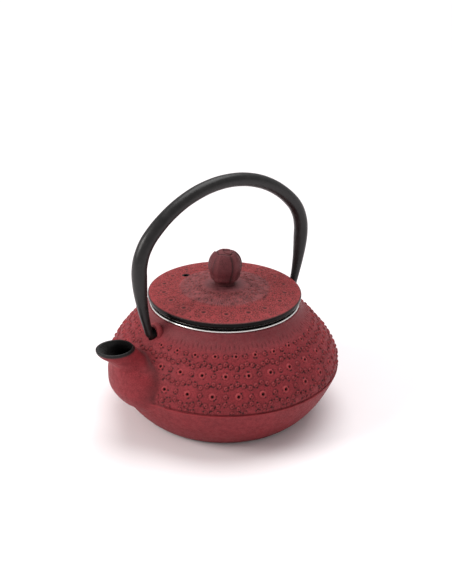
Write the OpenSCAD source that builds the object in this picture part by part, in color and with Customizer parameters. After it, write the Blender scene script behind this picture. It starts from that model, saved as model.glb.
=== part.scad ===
// Small cast iron teapot: a studded pot body with a gooseneck spout, a bail
// handle that swings in two cast lugs, a lift-off lid with a rosebud knob, and
// a lift-out mesh infuser that hangs in the mouth. Millimetres.
// Origin: centre of the flat base. +X points to the spout, +Z points up.

/* [Pot] */
// Largest diameter over the studs, at the bulge just above the seam
body_d = 119; // [118:0.5:122]
// Diameter of the flat base
base_d = 86; // [80:1:90]
// Height of the seam, a fine groove where the smooth lower band ends
seam_z = 25.3; // [24.5:0.1:26]
// Depth of the seam's groove
seam_groove = 0.3; // [0.2:0.1:0.6]
// Height of the studs over the cast wall of the upper half
stud_h = 0.6; // [0.4:0.1:0.8]
// Height of the mouth's flat top edge
mouth_z = 57.2; // [57:0.1:57.6]
// Outer diameter of the neck at the mouth
neck_d = 76.8; // [76.4:0.1:77.6]
// Bore of the mouth
mouth_d = 70; // [69.8:0.1:71]
// Thickness of the cast wall
wall = 3.2; // [2.8:0.1:3.4]
// Height of the inside floor
floor_z = 3.6; // [3:0.1:5]

/* [Spout] */
// Height of the level spout mouth
spout_z = 50.1; // [49:0.1:51.5]
// Thickness of the spout's wall
spout_wall = 3; // [2.6:0.1:3.2]

/* [Lugs] */
// Distance from the pot's axis to a lug's outer face
lug_x = 43.2; // [43:0.1:43.4]
// Thickness of a lug
lug_t = 3; // [2.6:0.1:3.2]
// Outer radius of a lug
lug_r = 4.7; // [4.5:0.1:5]
// Diameter of the loose hole through a lug
lug_hole_d = 6; // [5.8:0.1:6.2]

/* [Handle] */
// Height of the centreline at the top of the arch
arch_z = 119.4; // [119:0.2:126]
// Radius of the arch's top
arch_r = 60; // [58:1:62]
// Radius of the arch's shoulders
shoulder_r = 25; // [23:1:27]
// Half of the arch's widest span, centreline to centreline
arch_half = 50.25; // [50:0.25:51.5]
// Radius of the inward sweep of the legs
leg_r = 110; // [106:2:130]
// Thickest diameter of the bar, at the top of the legs
bar_d = 7.3; // [6.8:0.1:7.6]
// Diameter of the bar at the middle of the arch
grip_d = 6.7; // [6.2:0.1:7]
// Diameter of the hooked ends that sit in the lugs
hook_d = 4; // [3.6:0.1:4.2]

/* [Lid] */
// Diameter of the lid
lid_d = 77.2; // [76.8:0.1:77.8]
// Height of the lid's outer edge
lid_z = 62.6; // [62:0.1:63]
// Diameter of the raised middle disc
disc_d = 45.6; // [42:0.2:48]
// Thickness of the lid's plate
lid_t = 3.2; // [2.8:0.1:3.6]
// Diameter of the steam hole
vent_d = 2.4; // [1.6:0.1:3]

/* [Knob] */
// Widest diameter of the rosebud
knob_d = 16.5; // [15:0.1:17.5]
// Height of the rosebud
knob_h = 17; // [16:0.1:17.6]
// Diameter of the stud that holds the knob
stud_d = 3.8; // [3:0.1:4.4]

/* [Infuser] */
// Outer diameter of the collar that drops into the mouth
collar_d = 69.2; // [68.8:0.1:69.3]
// Outer diameter of the rolled rim
rim_d = 75.6; // [75.2:0.1:76]
// Thickness of the infuser's sheet metal
sheet = 0.5; // [0.4:0.05:0.6]
// Depth of the basket below the mouth's top edge
basket_depth = 29.4; // [24:0.2:29.6]

/* [Hidden] */
eps = 0.01;
$fn = 96;

red = [0.57, 0.235, 0.27];
bud_red = [0.40, 0.21, 0.24];
black = [0.10, 0.10, 0.105];
steel = [0.80, 0.79, 0.77];

// Gap left between faces that rest on each other
rest_gap = 0.05;

// ---- Curves ----------------------------------------------------------------

function bezier_point(a, b, c, d, t) =
    pow(1 - t, 3) * a + 3 * t * pow(1 - t, 2) * b + 3 * t * t * (1 - t) * c + t * t * t * d;

function bezier(a, b, c, d, steps) =
    [for (i = [0:steps]) bezier_point(a, b, c, d, i / steps)];

function unit(v) = v / norm(v);

// Moves an outline sideways, to its left as it is walked, by the given amount
function inset(p, by) = [
    for (i = [0:len(p) - 1])
        let (t = unit(p[min(i + 1, len(p) - 1)] - p[max(i - 1, 0)]))
        p[i] + by * [-t[1], t[0]]
];

function smooth(t) = let (u = min(max(t, 0), 1)) u * u * (3 - 2 * u);

// ---- Pot -------------------------------------------------------------------

body_r = body_d / 2;
base_r = base_d / 2;
neck_r = neck_d / 2;
mouth_r = mouth_d / 2;
seam_r = body_r - 0.4;
neck_foot = [body_r - 14.4, 49];

bowl = bezier(
    [base_r, 0], [base_r + 8.3, 6.5], [seam_r - 3.4, seam_z - 9.5], [seam_r, seam_z - 0.5], 14
);
// The dome runs over the tops of the studs
dome = bezier(
    [seam_r - seam_groove, seam_z], [body_r + 1.3, seam_z + 2.6],
    [body_r - 1.4, seam_z + 11.6], neck_foot, 18
);
neck = bezier(
    neck_foot, [neck_r + 2.6, 52.1], [neck_r + 0.2, 54.2], [neck_r, mouth_z - 0.6], 8
);

module pot_shell() {
    rotate_extrude()
        polygon(concat(
            [[0, 0]], bowl, dome, [for (i = [1:8]) neck[i]],
            [[neck_r - 0.5, mouth_z], [0, mouth_z]]
        ));
}

module pot_cavity() {
    inner_bowl = [for (p = inset(bowl, wall)) if (p[1] > floor_z) p];
    inner_dome = [for (p = inset(dome, wall + stud_h)) if (p[1] > seam_z + 3) p];
    rotate_extrude()
        polygon(concat(
            [[0, floor_z], [inner_bowl[0][0] - 2, floor_z]], inner_bowl, inner_dome,
            [[mouth_r, mouth_z - 6.4], [mouth_r, mouth_z + 1], [0, mouth_z + 1]]
        ));
}

// ---- Spout -----------------------------------------------------------------

// Level sections from the root to the mouth:
// [height, centre's distance from the pot's axis, half length, half width]
spout_sections = [
    [13, 43, 8, 7],
    [17, 46, 12, 14],
    [21, 48, 14.2, 18],
    [26, 49.5, 15.4, 19.6],
    [31, 50.5, 14.9, 19.3],
    [35, 51.8, 13.7, 18],
    [38.5, 54, 11.6, 14.6],
    [41.5, 57.2, 9, 10.6],
    [44.5, 60.6, 8.7, 8.9],
    [47, 63, 9.4, 8.6],
    [49, 64.5, 9.4, 8.4],
    [spout_z, 65, 9, 8.1]
];

// A smooth curve through the rows of a table, with the given steps per row
function through(rows, steps) = concat(
    [
        for (i = [0:len(rows) - 2], s = [0:steps - 1])
            let (
                t = s / steps,
                a = rows[max(i - 1, 0)], b = rows[i],
                c = rows[i + 1], d = rows[min(i + 2, len(rows) - 1)]
            )
            0.5 * (2 * b + (c - a) * t + (2 * a - 5 * b + 4 * c - d) * t * t
                + (3 * b - a - 3 * c + d) * t * t * t)
    ],
    [rows[len(rows) - 1]]
);

// A solid through a stack of rings, each a closed list of points
module ring_stack(rings) {
    n = len(rings[0]);
    last = len(rings) - 1;
    side = [
        for (i = [0:last - 1], k = [0:n - 1])
            let (a = i * n + k, b = i * n + (k + 1) % n)
            each [[a, a + n, b], [b, a + n, b + n]]
    ];
    polyhedron(
        points = [for (ring = rings) each ring],
        faces = concat(
            side,
            [[for (k = [0:n - 1]) k]],
            [[for (k = [n - 1:-1:0]) last * n + k]]
        )
    );
}

function level_ring(row, n) = [
    for (k = [0:n - 1])
        [row[1] + row[2] * cos(360 * k / n), row[3] * sin(360 * k / n), row[0]]
];

spout_sides = 36;

module spout_outside() {
    ring_stack([for (row = through(spout_sections, 2)) level_ring(row, spout_sides)]);
}

// The channel keeps one wall thickness inside the outside, and its mouth is
// set back towards the pot, so the pouring lip is the thickest part of the rim
module spout_channel() {
    inside = concat(
        [for (i = [2:8]) let (s = spout_sections[i])
            [s[0], s[1] - 0.6, s[2] - spout_wall, s[3] - spout_wall]],
        [
            [47.5, 61.6, 5.5, 5.3],
            [spout_z, 63.5, 6.9, 5.9],
            [spout_z + 2, 65, 8, 6.6]
        ]
    );
    ring_stack([for (row = through(inside, 2)) level_ring(row, spout_sides)]);
}

// ---- Lugs and hinge --------------------------------------------------------

// The hooks lie on the bottom of the loose lug holes
lug_hole_z = 51.3;
hinge_z = lug_hole_z - lug_hole_d / 2 + hook_d / 2 + 0.05;

module lug() {
    translate([lug_x - lug_t, 0, 0])
        rotate([90, 0, 90])
            linear_extrude(lug_t) {
                translate([0, lug_hole_z]) circle(r = lug_r);
                polygon([
                    [-lug_r - 1.6, 44], [lug_r + 1.6, 44],
                    [lug_r - 0.1, lug_hole_z], [-lug_r + 0.1, lug_hole_z]
                ]);
            }
}

// A lug's hole, run on into the shoulder as a pocket for the hook's tip
module lug_hole() {
    translate([mouth_r + 4.9, 0, lug_hole_z])
        rotate([0, 90, 0])
            cylinder(d = lug_hole_d, h = 10);
}

module pot_body() {
    color(red)
        difference() {
            union() {
                pot_shell();
                spout_outside();
                lug();
                mirror([1, 0, 0]) lug();
            }
            pot_cavity();
            spout_channel();
            lug_hole();
            mirror([1, 0, 0]) lug_hole();
        }
}

// ---- Bail handle -----------------------------------------------------------

// Angle from the vertical where the arch's top meets its shoulder
arch_turn = asin((arch_half - shoulder_r) / (arch_r - shoulder_r));
shoulder_z = arch_z - arch_r + (arch_r - shoulder_r) * cos(arch_turn);
bend_r = 2.7;
bend_z = hinge_z + bend_r;
leg_turn = asin((shoulder_z - bend_z + bend_r * 0.22) / leg_r);
leg_foot_x = arch_half - leg_r * (1 - cos(leg_turn));
bend_x = leg_foot_x - bend_r * cos(leg_turn);

// Half of the centreline, from the top of the arch to the foot of one leg,
// as [x, z, direction of travel from level]
half_line = concat(
    [for (i = [0:12]) let (a = arch_turn * i / 12)
        [arch_r * sin(a), arch_z - arch_r * (1 - cos(a)), a]],
    [for (i = [1:6]) let (a = arch_turn + (90 - arch_turn) * i / 6)
        [arch_half - shoulder_r * (1 - sin(a)), shoulder_z + shoulder_r * cos(a), a]],
    [for (i = [1:8]) let (a = leg_turn * i / 8)
        [arch_half - leg_r * (1 - cos(a)), shoulder_z - leg_r * sin(a), 90 + a]]
);

// Radius of the bar where its centreline has the given height
function bar_r(z) =
    z > shoulder_z
        ? bar_d / 2 + (grip_d - bar_d) / 2 * smooth((z - shoulder_z) / (arch_z - shoulder_z))
        : hook_d / 2 + 0.1 + (bar_d - hook_d - 0.2) / 2 * smooth((z - bend_z) / (shoulder_z - bend_z));

function bar_ring(at, side, n) =
    let (r = bar_r(at[1]), out = [side * sin(at[2]), 0, cos(at[2])])
    [
        for (k = [0:n - 1])
            [side * at[0], 0, at[1]] + r * (cos(360 * k / n) * out - sin(360 * k / n) * [0, 1, 0])
    ];

module arch() {
    n = 24;
    last = len(half_line) - 1;
    ring_stack(concat(
        [for (i = [last:-1:0]) bar_ring(half_line[i], -1, n)],
        [for (i = [1:last]) bar_ring(half_line[i], 1, n)]
    ));
}

// The end of a leg: a tight bend, and a straight hook with a round tip.
// The hook is a little thinner than the bend and starts inside it, and the
// bend starts inside the leg, whose foot is a little thicker.
module hook() {
    tip_x = mouth_r + 5.4;
    hook_r = hook_d / 2 - 0.05;
    hook_l = bend_x + 0.3 - tip_x;
    translate([bend_x, 0, bend_z])
        rotate([90, 0, 0])
            rotate([0, 0, -90])
                rotate_extrude(angle = 90 - leg_turn + 10)
                    translate([bend_r, 0]) circle(d = hook_d, $fn = 48);
    translate([tip_x, 0, hinge_z])
        rotate([0, 90, 0])
            rotate_extrude($fn = 48)
                polygon(concat(
                    [for (a = [0:15:90]) [hook_r * sin(a), hook_r * (1 - cos(a))]],
                    [[hook_r, hook_l], [0, hook_l]]
                ));
}

module bail_handle() {
    color(black) {
        arch();
        hook();
        mirror([1, 0, 0]) hook();
    }
}

// ---- Infuser ---------------------------------------------------------------

collar_r = collar_d / 2;
rim_r = rim_d / 2;
bead_r = 0.5;
flange_z = mouth_z + rest_gap;
flange_top = flange_z + sheet;
basket_z = mouth_z - basket_depth;
mesh_r = collar_r - sheet - rest_gap;

module tube(outer, inner, z, h) {
    translate([0, 0, z])
        difference() {
            cylinder(r = outer, h = h);
            translate([0, 0, -eps]) cylinder(r = inner, h = h + 2 * eps);
        }
}

// One pressing: the collar, its flat flange and the rolled rim
module infuser_rim() {
    color(steel) {
        tube(collar_r, collar_r - sheet, mouth_z - 7, flange_top - mouth_z + 7);
        tube(rim_r - bead_r, collar_r - sheet, flange_z, sheet);
        translate([0, 0, flange_z + bead_r])
            rotate_extrude()
                translate([rim_r - bead_r, 0]) circle(r = bead_r, $fn = 24);
    }
}

module infuser_wall() {
    color(steel)
        tube(mesh_r, mesh_r - sheet, basket_z + sheet + rest_gap, basket_depth - 5);
}

module infuser_floor() {
    color(steel)
        translate([0, 0, basket_z + sheet + rest_gap])
            cylinder(r = mesh_r - sheet - rest_gap, h = sheet);
}

// The band that holds the wall and the floor together
module infuser_foot_ring() {
    color(steel) {
        tube(mesh_r + rest_gap + sheet, mesh_r + rest_gap, basket_z, 3);
        tube(mesh_r + rest_gap + sheet, mesh_r - 2.4, basket_z, sheet);
    }
}

// ---- Lid -------------------------------------------------------------------

lid_r = lid_d / 2;
disc_r = disc_d / 2;
disc_step = 0.5;
boss_r = 5.4;
seat_z = flange_top + rest_gap;
spigot_r = collar_r - sheet - 1.6;
disc_z = lid_z + 1.6 + disc_step;
crown_z = disc_z + 1.7;

// Height of the lid's top face at a radius
function lid_top(r) =
    r < disc_r
        ? disc_z + (crown_z - disc_z) * (1 - pow(r / disc_r, 2))
        : lid_z + 1.6 * (1 - pow((r - disc_r) / (lid_r - disc_r), 2));

module lid() {
    top = concat(
        [for (i = [0:8]) let (r = lid_r - 0.3 - (lid_r - 0.3 - disc_r - 0.4) * i / 8) [r, lid_top(r)]],
        [for (i = [0:8]) let (r = disc_r - 0.2 - (disc_r - 0.2 - boss_r) * i / 8) [r, lid_top(r)]]
    );
    under = [
        for (i = [0:8])
            let (r = 6 + (spigot_r - 3.4 - 6) * i / 8)
            [r, min(lid_top(r), lid_top(boss_r)) - lid_t - 0.5 * smooth(r / 20)]
    ];
    color(red)
        difference() {
            rotate_extrude()
                polygon(concat(
                    top,
                    [[boss_r, crown_z], [0, crown_z], [0, crown_z - lid_t], [6, crown_z - lid_t]],
                    under,
                    [
                        [spigot_r - 2.4, seat_z - 5], [spigot_r - 0.4, seat_z - 5],
                        [spigot_r, seat_z - 4.6], [spigot_r, seat_z],
                        [lid_r - 2.6, seat_z], [lid_r - 1.4, seat_z + 1], [lid_r - 0.4, seat_z + 2.4],
                        [lid_r, seat_z + 3], [lid_r, lid_z - 0.3]
                    ]
                ));
            translate([0, 0, crown_z - 10]) cylinder(d = stud_d + 0.2, h = 20, $fn = 48);
            rotate([0, 0, -75])
                translate([disc_r + 2.4, 0, lid_z - 10]) cylinder(d = vent_d, h = 20, $fn = 32);
        }
}

// ---- Knob ------------------------------------------------------------------

knob_r = knob_d / 2;
neck_foot_z = crown_z + rest_gap;
knob_z = neck_foot_z + 1;
bud_mid = knob_z + knob_h / 2;

petals = 5;
crease_r = 0.55;

// The line where two petals meet, from under the bud to near its opening
module petal_crease() {
    translate([0, 0, bud_mid])
        rotate([90, 0, 0])
            rotate([0, 0, -52])
                rotate_extrude(angle = 112)
                    translate([knob_r + 0.2, 0]) circle(r = crease_r, $fn = 24);
}

module lid_knob() {
    bud = [
        for (a = [-64:8:72])
            [knob_r * cos(a) * (1 + 0.04 * cos(2 * a)), bud_mid + knob_h / 2 * sin(a)]
    ];
    opening = [
        [2.4, knob_z + knob_h - 0.1], [1.2, knob_z + knob_h - 1.6], [0, knob_z + knob_h - 1.8]
    ];
    color(bud_red)
        difference() {
            rotate_extrude()
                polygon(concat(
                    [[0, neck_foot_z], [3.7, neck_foot_z], [3.4, knob_z + 0.3]], bud, opening
                ));
            translate([0, 0, neck_foot_z - 1]) cylinder(d = stud_d + 0.04, h = 9, $fn = 48);
            for (k = [0:petals - 1])
                rotate([0, 0, 360 * k / petals + 34]) petal_crease();
        }
}

washer_z = crown_z - lid_t - rest_gap - 0.9;

module stud_washer() {
    color(steel)
        tube(4.2, stud_d / 2 + 0.02, washer_z, 0.9);
}

// The knob's stud runs through the lid and is peened over the washer
module knob_stud() {
    color(steel) {
        translate([0, 0, washer_z - 0.5])
            cylinder(d = stud_d, h = neck_foot_z + 7.9 - washer_z + 0.5, $fn = 48);
        translate([0, 0, washer_z - 1.2 - eps])
            rotate_extrude()
                polygon([[0, 0], [2, 0], [2.9, 0.6], [3, 1.2], [0, 1.2]]);
    }
}

pot_body();
bail_handle();
infuser_rim();
infuser_wall();
infuser_floor();
infuser_foot_ring();
lid();
lid_knob();
knob_stud();
stud_washer();
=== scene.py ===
"""Looks of the small cast iron teapot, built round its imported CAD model.

Lengths in the tables and constants are millimetres, and MM turns them into metres.
"""
import math

import bpy
import numpy as np
from mathutils import Matrix, Vector


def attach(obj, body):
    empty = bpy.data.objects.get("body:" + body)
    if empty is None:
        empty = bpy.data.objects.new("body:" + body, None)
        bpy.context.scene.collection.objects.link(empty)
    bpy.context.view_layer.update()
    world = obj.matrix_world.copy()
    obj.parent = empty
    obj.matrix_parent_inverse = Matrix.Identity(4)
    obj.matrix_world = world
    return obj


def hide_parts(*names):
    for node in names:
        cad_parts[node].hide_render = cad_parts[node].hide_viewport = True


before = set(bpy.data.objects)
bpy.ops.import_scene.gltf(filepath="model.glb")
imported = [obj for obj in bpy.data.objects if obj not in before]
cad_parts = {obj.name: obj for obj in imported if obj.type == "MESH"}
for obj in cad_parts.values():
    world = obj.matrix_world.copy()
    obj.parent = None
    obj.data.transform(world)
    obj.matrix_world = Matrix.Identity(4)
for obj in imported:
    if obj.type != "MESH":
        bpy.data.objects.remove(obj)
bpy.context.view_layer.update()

MM = 0.001
rng = np.random.default_rng(11)

# ---- Measures of the CAD part ------------------------------------------------

BODY_R, BASE_R = 59.5, 43.0
SEAM_R, SEAM_Z = BODY_R - 0.4, 25.3
NECK_R, MOUTH_R, MOUTH_Z = 38.4, 35.0, 57.2
NECK_FOOT = (BODY_R - 14.4, 49.0)
WALL, FLOOR_Z = 3.2, 3.6
# The CAD dome runs over the tops of the studs, which stand this high on the cast wall.
STUD_H = 0.6

# Level sections of the spout: height, middle, half length and half width. The tip's X keeps the
# rounded lip just inside the CAD's box.
SPOUT_Z, SPOUT_WALL, SPOUT_TIP_X = 50.1, 3.0, 73.97
SPOUT_ROWS = np.array([
    (13, 43, 8, 7), (17, 46, 12, 14), (21, 48, 14.2, 18), (26, 49.5, 15.4, 19.6),
    (31, 50.5, 14.9, 19.3), (35, 51.8, 13.7, 18), (38.5, 54, 11.6, 14.6), (41.5, 57.2, 9, 10.6),
    (44.5, 60.6, 8.7, 8.9), (47, 63, 9.4, 8.6), (49, 64.5, 9.4, 8.4), (SPOUT_Z, 65, 9, 8.1),
], float)

LUG_X, LUG_T, LUG_R, LUG_HOLE_R, LUG_HOLE_Z = 43.2, 3.0, 4.7, 3.0, 51.3
LUG_FOOT_X, POCKET_X = 42.0, 39.9
HINGE_Z = 50.35

LID_R, LID_Z, DISC_R, LID_T = 38.6, 62.6, 22.8, 3.2
DISC_Z = LID_Z + 2.1
CROWN_Z = DISC_Z + 1.7
SEAT_Z, SPIGOT_R, SPIGOT_H = 57.8, 32.5, 5.0
SHANK_R, WASHER_FLAT_R = 2.05, 6.0
VENT_R, VENT_AT, VENT_TURN = 1.2, 25.2, math.radians(-75)

KNOB_R, KNOB_H = 8.25, 17.0
KNOB_FOOT_Z = CROWN_Z + 0.05
KNOB_Z = KNOB_FOOT_Z + 1.0

MESH_R, BASKET_Z = 34.05, 27.8


# ---- Mesh helpers --------------------------------------------------------------

def mesh_piece(name, points, faces, material, smooth=True, **layers):
    """A mesh object from points in mm and an array of quads or triangles, with float layers."""
    mesh = bpy.data.meshes.new(name)
    faces = np.asarray(faces, np.int32)
    corners = faces.shape[1]
    mesh.vertices.add(len(points))
    mesh.vertices.foreach_set("co", (np.asarray(points, float) * MM).ravel())
    mesh.loops.add(faces.size)
    mesh.loops.foreach_set("vertex_index", faces.ravel())
    mesh.polygons.add(len(faces))
    mesh.polygons.foreach_set("loop_start", np.arange(0, faces.size, corners, dtype=np.int32))
    mesh.update(calc_edges=True)
    mesh.polygons.foreach_set("use_smooth", np.full(len(faces), smooth))
    for layer, values in layers.items():
        made = mesh.attributes.new(layer, "FLOAT", "POINT")
        made.data.foreach_set("value", np.asarray(values, np.float32).ravel())
    mesh.validate()
    piece = bpy.data.objects.new(name, mesh)
    bpy.context.scene.collection.objects.link(piece)
    piece.data.materials.append(material)
    return piece


def grid_faces(rows, columns):
    """Quads of a closed grid whose points go row by row.

    They face out where rows go up and columns turn left."""
    r, c = np.meshgrid(np.arange(rows - 1), np.arange(columns), indexing="ij")
    a = r * columns + c
    b = r * columns + (c + 1) % columns
    return np.stack([a, b, b + columns, a + columns], -1).reshape(-1, 4)


def used_only(points, faces, layers):
    """Drops the points that no face uses."""
    used = np.unique(faces)
    back = np.full(len(points), -1)
    back[used] = np.arange(len(used))
    return points[used], back[faces], {k: np.asarray(v)[used] for k, v in layers.items()}


def zero_layers(points):
    """The layers that washed_iron reads, 0 all over, to be filled where something shows."""
    return {name: np.zeros(len(points)) for name in ("pit", "rubbed_and_highlight", "bare", "mauve")}


def bezier(a, b, c, d, steps):
    """Points of a cubic curve from a to d."""
    t = np.linspace(0, 1, steps + 1)[:, None]
    a, b, c, d = map(np.array, (a, b, c, d))
    return (1 - t) ** 3 * a + 3 * t * (1 - t) ** 2 * b + 3 * t * t * (1 - t) * c + t ** 3 * d


def through(rows, steps):
    """A smooth curve through the rows of a table."""
    out = []
    for i in range(len(rows) - 1):
        a, b = rows[max(i - 1, 0)], rows[i]
        c, d = rows[i + 1], rows[min(i + 2, len(rows) - 1)]
        for s in range(steps):
            t = s / steps
            out.append(0.5 * (2 * b + (c - a) * t + (2 * a - 5 * b + 4 * c - d) * t * t
                              + (3 * b - a - 3 * c + d) * t ** 3))
    return np.array(out + [rows[-1]])


def smooth(t):
    """A soft step from 0 at t = 0 to 1 at t = 1."""
    t = np.clip(t, 0, 1)
    return t * t * (3 - 2 * t)


def along(line, pitch):
    """The same line with points an equal distance apart."""
    d = np.r_[0, np.cumsum(np.linalg.norm(np.diff(line, axis=0), axis=1))]
    at = np.linspace(0, d[-1], max(2, round(d[-1] / pitch) + 1))
    return np.stack([np.interp(at, d, line[:, k]) for k in range(line.shape[1])], -1)


def normals_2d(line):
    """Unit normals on the right of a line as it is walked: outwards for a profile that goes up."""
    t = np.gradient(line, axis=0)
    t /= np.linalg.norm(t, axis=1)[:, None]
    return np.stack([t[:, 1], -t[:, 0]], -1)


def turns(columns):
    """Angles of a full turn in equal steps."""
    return np.arange(columns) * 2 * math.pi / columns


def revolve(profile, columns):
    """Points of a profile of (radius, height) turned about Z, row by row."""
    turn = turns(columns)
    r, z = profile[:, 0][:, None], profile[:, 1][:, None]
    return np.stack([r * np.cos(turn), r * np.sin(turn), z + 0 * turn], -1).reshape(-1, 3)


# ---- Materials -----------------------------------------------------------------

class Nodes:
    """A short way to write a node material."""

    def __init__(self, name):
        self.material = bpy.data.materials.new(name)
        self.material.use_nodes = True
        self.tree = self.material.node_tree
        self.shader = self.tree.nodes["Principled BSDF"]
        self.place = self.tree.nodes.new("ShaderNodeTexCoord").outputs["Object"]

    def add(self, kind, **inputs):
        """A new node, with its inputs given by name and _ for a space."""
        node = self.tree.nodes.new("ShaderNode" + kind)
        for name, value in inputs.items():
            self.feed(node.inputs[name.replace("_", " ")], value)
        return node

    def feed(self, socket, value):
        """Links another node's output to a socket, or sets the socket's value."""
        if isinstance(value, bpy.types.NodeSocket):
            self.tree.links.new(value, socket)
        else:
            socket.default_value = value

    def noise(self, size, detail=3.0, rough=0.55, stretch=None):
        """Noise whose features are about the given size in mm."""
        vector = self.place
        if stretch:
            mapping = self.add("Mapping", Vector=vector)
            mapping.inputs["Scale"].default_value = stretch
            vector = mapping.outputs["Vector"]
        node = self.add("TexNoise", Vector=vector, Scale=1 / (size * MM), Detail=detail, Roughness=rough)
        return node.outputs["Fac"]

    def layer(self, name):
        """The value of one of the mesh's float layers."""
        node = self.add("Attribute")
        node.attribute_name = name
        return node.outputs["Fac"]

    def ramp(self, value, *stops):
        """Maps a value through (position, colour or grey) stops."""
        node = self.add("ValToRGB", Fac=value)
        band = node.color_ramp
        while len(band.elements) < len(stops):
            band.elements.new(0.5)
        for element, (at, colour) in zip(band.elements, stops):
            element.position = at
            element.color = (*colour, 1) if isinstance(colour, tuple) else (colour, colour, colour, 1)
        return node.outputs["Color"]

    def blend(self, amount, low, high):
        """A colour that goes from low to high with the amount."""
        node = self.add("Mix")
        node.data_type = "RGBA"
        for socket, value in ((node.inputs[0], amount), (node.inputs[6], low), (node.inputs[7], high)):
            if isinstance(value, tuple):
                value = (*value, 1)
            self.feed(socket, value)
        return node.outputs[2]

    def times(self, a, b):
        """The product of two values."""
        node = self.add("Math")
        node.operation = "MULTIPLY"
        self.feed(node.inputs[0], a)
        self.feed(node.inputs[1], b)
        return node.outputs[0]

    def bump(self, height, depth, under=None):
        """A bump of the given depth in mm."""
        node = self.add("Bump", Height=height, Strength=1.0, Distance=depth * MM)
        if under:
            self.feed(node.inputs["Normal"], under)
        return node.outputs["Normal"]

    def finish(self, **inputs):
        """Feeds the shader and gives back the material."""
        for name, value in inputs.items():
            if isinstance(value, tuple):
                value = (*value, 1)
            self.feed(self.shader.inputs[name.replace("_", " ")], value)
        return self.material


def washed_iron(name, colour, bright, dark, grain=1.0):
    """A thin colour wash brushed over black cast iron: dark in the pits, paler on raised parts, with painted
    shade and painted highlights where the mesh's layers ask for them.

    The mesh's layers say where: pit (dark wash in the pits, and painted shade in creases, holes and at the
    knob's foot), rise (paler dry-brushed paint on raised parts, and painted highlights on ridges and ledges),
    bare (the black shows) and mauve (a darker, greyer tone)."""
    n = Nodes(name)
    clouds = n.noise(9.0, 4)
    patches = n.noise(2.2, 3)
    specks = n.noise(0.5, 2)
    tint = n.blend(n.ramp(clouds, (0.35, 0.0), (0.68, 1.0)), colour, tuple(0.80 * c for c in colour))
    tint = n.blend(n.ramp(patches, (0.42, 0.0), (0.75, 0.34)), tint, dark)
    tint = n.blend(n.ramp(specks, (0.50, 0.0), (0.72, 0.45)), tint, bright)
    tint = n.blend(n.ramp(specks, (0.28, 0.55), (0.42, 0.0)), tint, dark)
    mauve = n.blend(n.ramp(patches, (0.3, 0.0), (0.7, 1.0)), (0.108, 0.031, 0.037), (0.195, 0.066, 0.071))
    tint = n.blend(n.layer("mauve"), tint, mauve)
    rubbed_and_lit = n.times(n.layer("rubbed_and_highlight"), n.ramp(patches, (0.3, 0.45), (0.7, 0.9)))
    tint = n.blend(rubbed_and_lit, tint, bright)
    tint = n.blend(n.layer("pit"), tint, (0.006, 0.004, 0.004))
    tint = n.blend(n.layer("bare"), tint, (0.012, 0.011, 0.011))
    fine = n.bump(n.noise(0.55 * grain, 3, 0.65), 0.14)
    coarse = n.bump(n.noise(1.5, 2), 0.10, fine)
    rough = n.ramp(patches, (0.3, 0.50), (0.7, 0.66))
    rough = n.blend(n.layer("bare"), rough, (0.26, 0.26, 0.26))
    n.shader.inputs["Specular IOR Level"].default_value = 0.20
    return n.finish(Base_Color=tint, Roughness=rough, Normal=coarse)


def black_iron(name, rough_low, rough_high, colour, ripple, gloss):
    """Black enamel or paint on cast iron, with a slow ripple of the given size in mm."""
    n = Nodes(name)
    haze = n.noise(4.0, 4)
    tint = n.blend(n.ramp(haze, (0.35, 0.0), (0.7, 1.0)), colour, tuple(1.7 * c for c in colour))
    specks = n.noise(0.35, 2)
    tint = n.blend(n.ramp(specks, (0.66, 0.0), (0.80, 0.5)), tint, (0.05, 0.047, 0.046))
    wave = n.bump(n.noise(ripple, 3), 0.09)
    skin = n.bump(n.noise(0.4, 2), 0.025, wave)
    rough = n.ramp(haze, (0.3, rough_low), (0.75, rough_high))
    n.shader.inputs["Specular IOR Level"].default_value = gloss
    return n.finish(Base_Color=tint, Roughness=rough, Normal=skin)


def bright_steel(name, colour, rough, stretch):
    """Bare steel with fine brushing, drawn out along an axis by stretch."""
    n = Nodes(name)
    brush = n.noise(0.5, 3, 0.6, stretch)
    haze = n.noise(5.0, 3)
    tint = n.blend(n.ramp(haze, (0.3, 0.0), (0.7, 0.5)), colour, tuple(0.82 * c for c in colour))
    shine = n.ramp(brush, (0.25, rough * 0.7), (0.75, rough * 1.4))
    return n.finish(Base_Color=tint, Metallic=1.0, Roughness=shine, Normal=n.bump(brush, 0.006))


RED = washed_iron("red_wash", (0.232, 0.0215, 0.0285), (0.36, 0.050, 0.054), (0.056, 0.008, 0.010))
LID_RED = washed_iron("lid_wash", (0.285, 0.0315, 0.0360), (0.43, 0.068, 0.068), (0.068, 0.011, 0.010))
PLUM = washed_iron("plum_wash", (0.132, 0.029, 0.034), (0.21, 0.055, 0.060), (0.035, 0.010, 0.012), 0.8)
ENAMEL = black_iron("black_enamel", 0.14, 0.24, (0.0025, 0.0024, 0.0025), 3.0, 0.09)
SATIN = black_iron("satin_black", 0.30, 0.42, (0.0080, 0.0072, 0.0073), 2.2, 0.34)
STEEL = bright_steel("polished_stainless", (0.86, 0.85, 0.83), 0.30, (1, 1, 6))
WIRE = bright_steel("mesh_wire", (0.62, 0.62, 0.61), 0.30, (1, 1, 1))
STUD = bright_steel("plain_steel", (0.56, 0.56, 0.57), 0.34, (1, 1, 8))


# ---- Pot: outlines ---------------------------------------------------------------

BOWL = bezier((BASE_R, 0), (BASE_R + 8.3, 6.5), (SEAM_R - 3.4, SEAM_Z - 9.5), (SEAM_R, SEAM_Z - 0.5), 90)
ENVELOPE = bezier((SEAM_R - 0.3, SEAM_Z), (BODY_R + 1.3, SEAM_Z + 2.6), (BODY_R - 1.4, SEAM_Z + 11.6),
                  NECK_FOOT, 240)
NECK = bezier(NECK_FOOT, (NECK_R + 2.6, 52.1), (NECK_R + 0.2, 54.2), (NECK_R, MOUTH_Z - 0.6), 60)


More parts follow.
